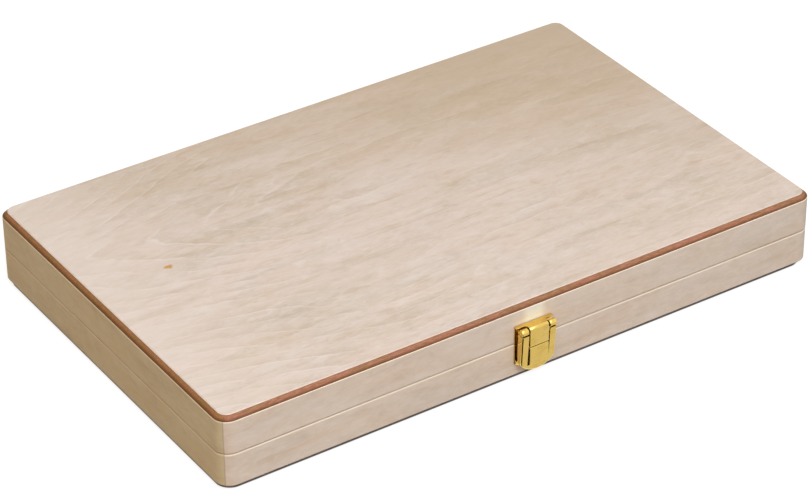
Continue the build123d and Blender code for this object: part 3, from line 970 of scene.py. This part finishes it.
def hinge_screws(name, material, body, replaced, upper):
    """Four countersunk brass screws with slotted heads, flush with the hinge leaves"""
    low, high = (Vector(corner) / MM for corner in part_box("lower_hinge_screws"))
    x, y, level = low.x + SCREW_HEAD, (low.y + high.y) / 2, high.z
    underside = level - SCREW_HEAD_DEPTH
    screw = start_round(name, (x, y, level - SCREW_HEAD_DEPTH / 2), SCREW_HEAD, SCREW_HEAD_DEPTH, "z", 32)
    cut_at(x=(x - SLOT_REACH, x + SLOT_REACH), y=(y - SLOT_HALF, y + SLOT_HALF))
    pick("FACE", lambda p: near(p.z, level) and abs(p.x - x) < SLOT_REACH and abs(p.y - y) < SLOT_HALF)
    extrude(z=-SLOT_DEPTH)
    pick("VERT", lambda p: near(p.z, underside))
    resize((x, y, level), x=SCREW_NECK, y=SCREW_NECK)
    pick("FACE", lambda p: near(p.z, underside))
    for turn in range(THREAD_TURNS):
        for widening in THREAD_SWELL:
            extrude(z=-THREAD_PITCH / 2)
            resize((x, y, level), x=widening, y=widening)
    extrude(z=low.z - underside + THREAD_PITCH * THREAD_TURNS)
    resize((x, y, level), x=SCREW_TIP, y=SCREW_TIP)
    leave_edit_mode()
    across = high.x - low.x - 2 * SCREW_HEAD
    copies = [copy_moved(screw, shift) for shift in (SCREW_SPACING, across - SCREW_SPACING, across)]
    screws = joined(screw, *copies)
    if upper:
        flip = Matrix.Translation((0, 0, 2 * PARTING * MM)) @ Matrix.Scale(-1, 4, (0, 0, 1))
        screws.data.transform(flip)
        screws.data.flip_normals()
    finish_piece(screws, material, "brass", body, replaced, edge=0, angle=40)


def dress(material, *names):
    """Gives CAD nodes their material"""
    for name in names:
        nodes[name].data.materials.clear()
        nodes[name].data.materials.append(material)


place_camera()
add_softbox("key softbox", KEY_AZIMUTH, KEY_ELEVATION, KEY_DISTANCE, KEY_SIZE, KEY_POWER, "#FFFCFA")
add_softbox("warm fill", WARM_AZIMUTH, WARM_ELEVATION, WARM_DISTANCE, WARM_SIZE, WARM_POWER, "#FFBE6A")
light_sky()
lay_floor()
# Painted reflections: cards that only the brass sees, one grey and glowing, one dark
lay_card("grey_card", (-5.5, -700), (500, CARD_BACK), 0.75)
lay_card("dark_card", (-84, -196), (-6.5, CARD_BACK), 0.02)
bpy.context.scene.view_settings.view_transform = "Standard"

# Basswood veneer, sliced flat and sanded, no finish: pale and matt, with arches that show only near one end
top_veneer = bare_wood(
    "basswood face veneer, bare", True, FACE_TONES, 0.8, marks_and_painted_light=aged_veneer, arched_end=1.0
)
base_veneer = bare_wood("basswood base veneer, bare", True, FACE_TONES, 1.0, seed=90.0)
dress(top_veneer, "upper_panel_veneer")
dress(base_veneer, "lower_panel_veneer")

# Basswood rails, sawn near the quarter and sanded: a little yellower, with nearly straight grain
rail_x = bare_wood(
    "basswood rail along the front", True, RAIL_TONES, 0.3, QUARTER_RINGS, 20.0, marks_and_painted_light=painted_glow_over_catch
)
rail_y = bare_wood(
    "basswood rail along the side", False, RAIL_TONES, 0.3, QUARTER_RINGS, 30.0, marks_and_painted_light=warm_shaded_ends
)
dress(rail_x, "lower_front_rail", "upper_front_rail", "lower_back_rail", "upper_back_rail")
dress(rail_y, "lower_left_rail", "upper_left_rail", "lower_right_rail", "upper_right_rail")

# Fibreboard, dyed red and routed: a matt red-brown line round the top, and nearly black under the case, where
# painted shade darkens it
dress(fibreboard_core("red fibreboard core, routed"), "upper_panel_core")
dress(fibreboard_core("red fibreboard core, soiled by the table", 0.88), "lower_panel_core")

# Veneers of the playing field, oiled: smoother than the case, so they have a soft sheen, and the small points
# have narrow rings
field = bare_wood("maple field veneer", True, FACE_TONES, 0.8, FIELD_RINGS, 60.0, 0.45)
walnut = bare_wood("walnut points", True, WALNUT_TONES, 0.5, POINT_RINGS, 40.0, 0.4)
cherry = bare_wood("cherry points", True, CHERRY_TONES, 0.5, POINT_RINGS, 50.0, 0.4)
dress(field, "lower_field_veneer", "upper_field_veneer")
dress(walnut, "lower_dark_points", "upper_dark_points")
dress(cherry, "lower_light_points", "upper_light_points")

# Brass, pressed and polished: mirrors the softboxes and the cards, so it goes from near white to near black
brass = polished_brass("polished brass", "#F2CF72")
dress(brass, *[name for name in nodes if "hinge" in name or "catch" in name])
lid_plate(brass)
swing_loop(brass)
keeper(brass)
nail_pair("lid_plate_nails", brass, "upper_half", PARTING + NAIL_HEIGHT, "catch_lid_nails")
nail_pair("keeper_nails", brass, "lower_half", PARTING - NAIL_HEIGHT, "catch_keeper_nails")
hinge_screws("lower_slotted_screws", brass, "lower_half", "lower_hinge_screws", False)
hinge_screws("upper_slotted_screws", brass, "upper_half", "upper_hinge_screws", True)
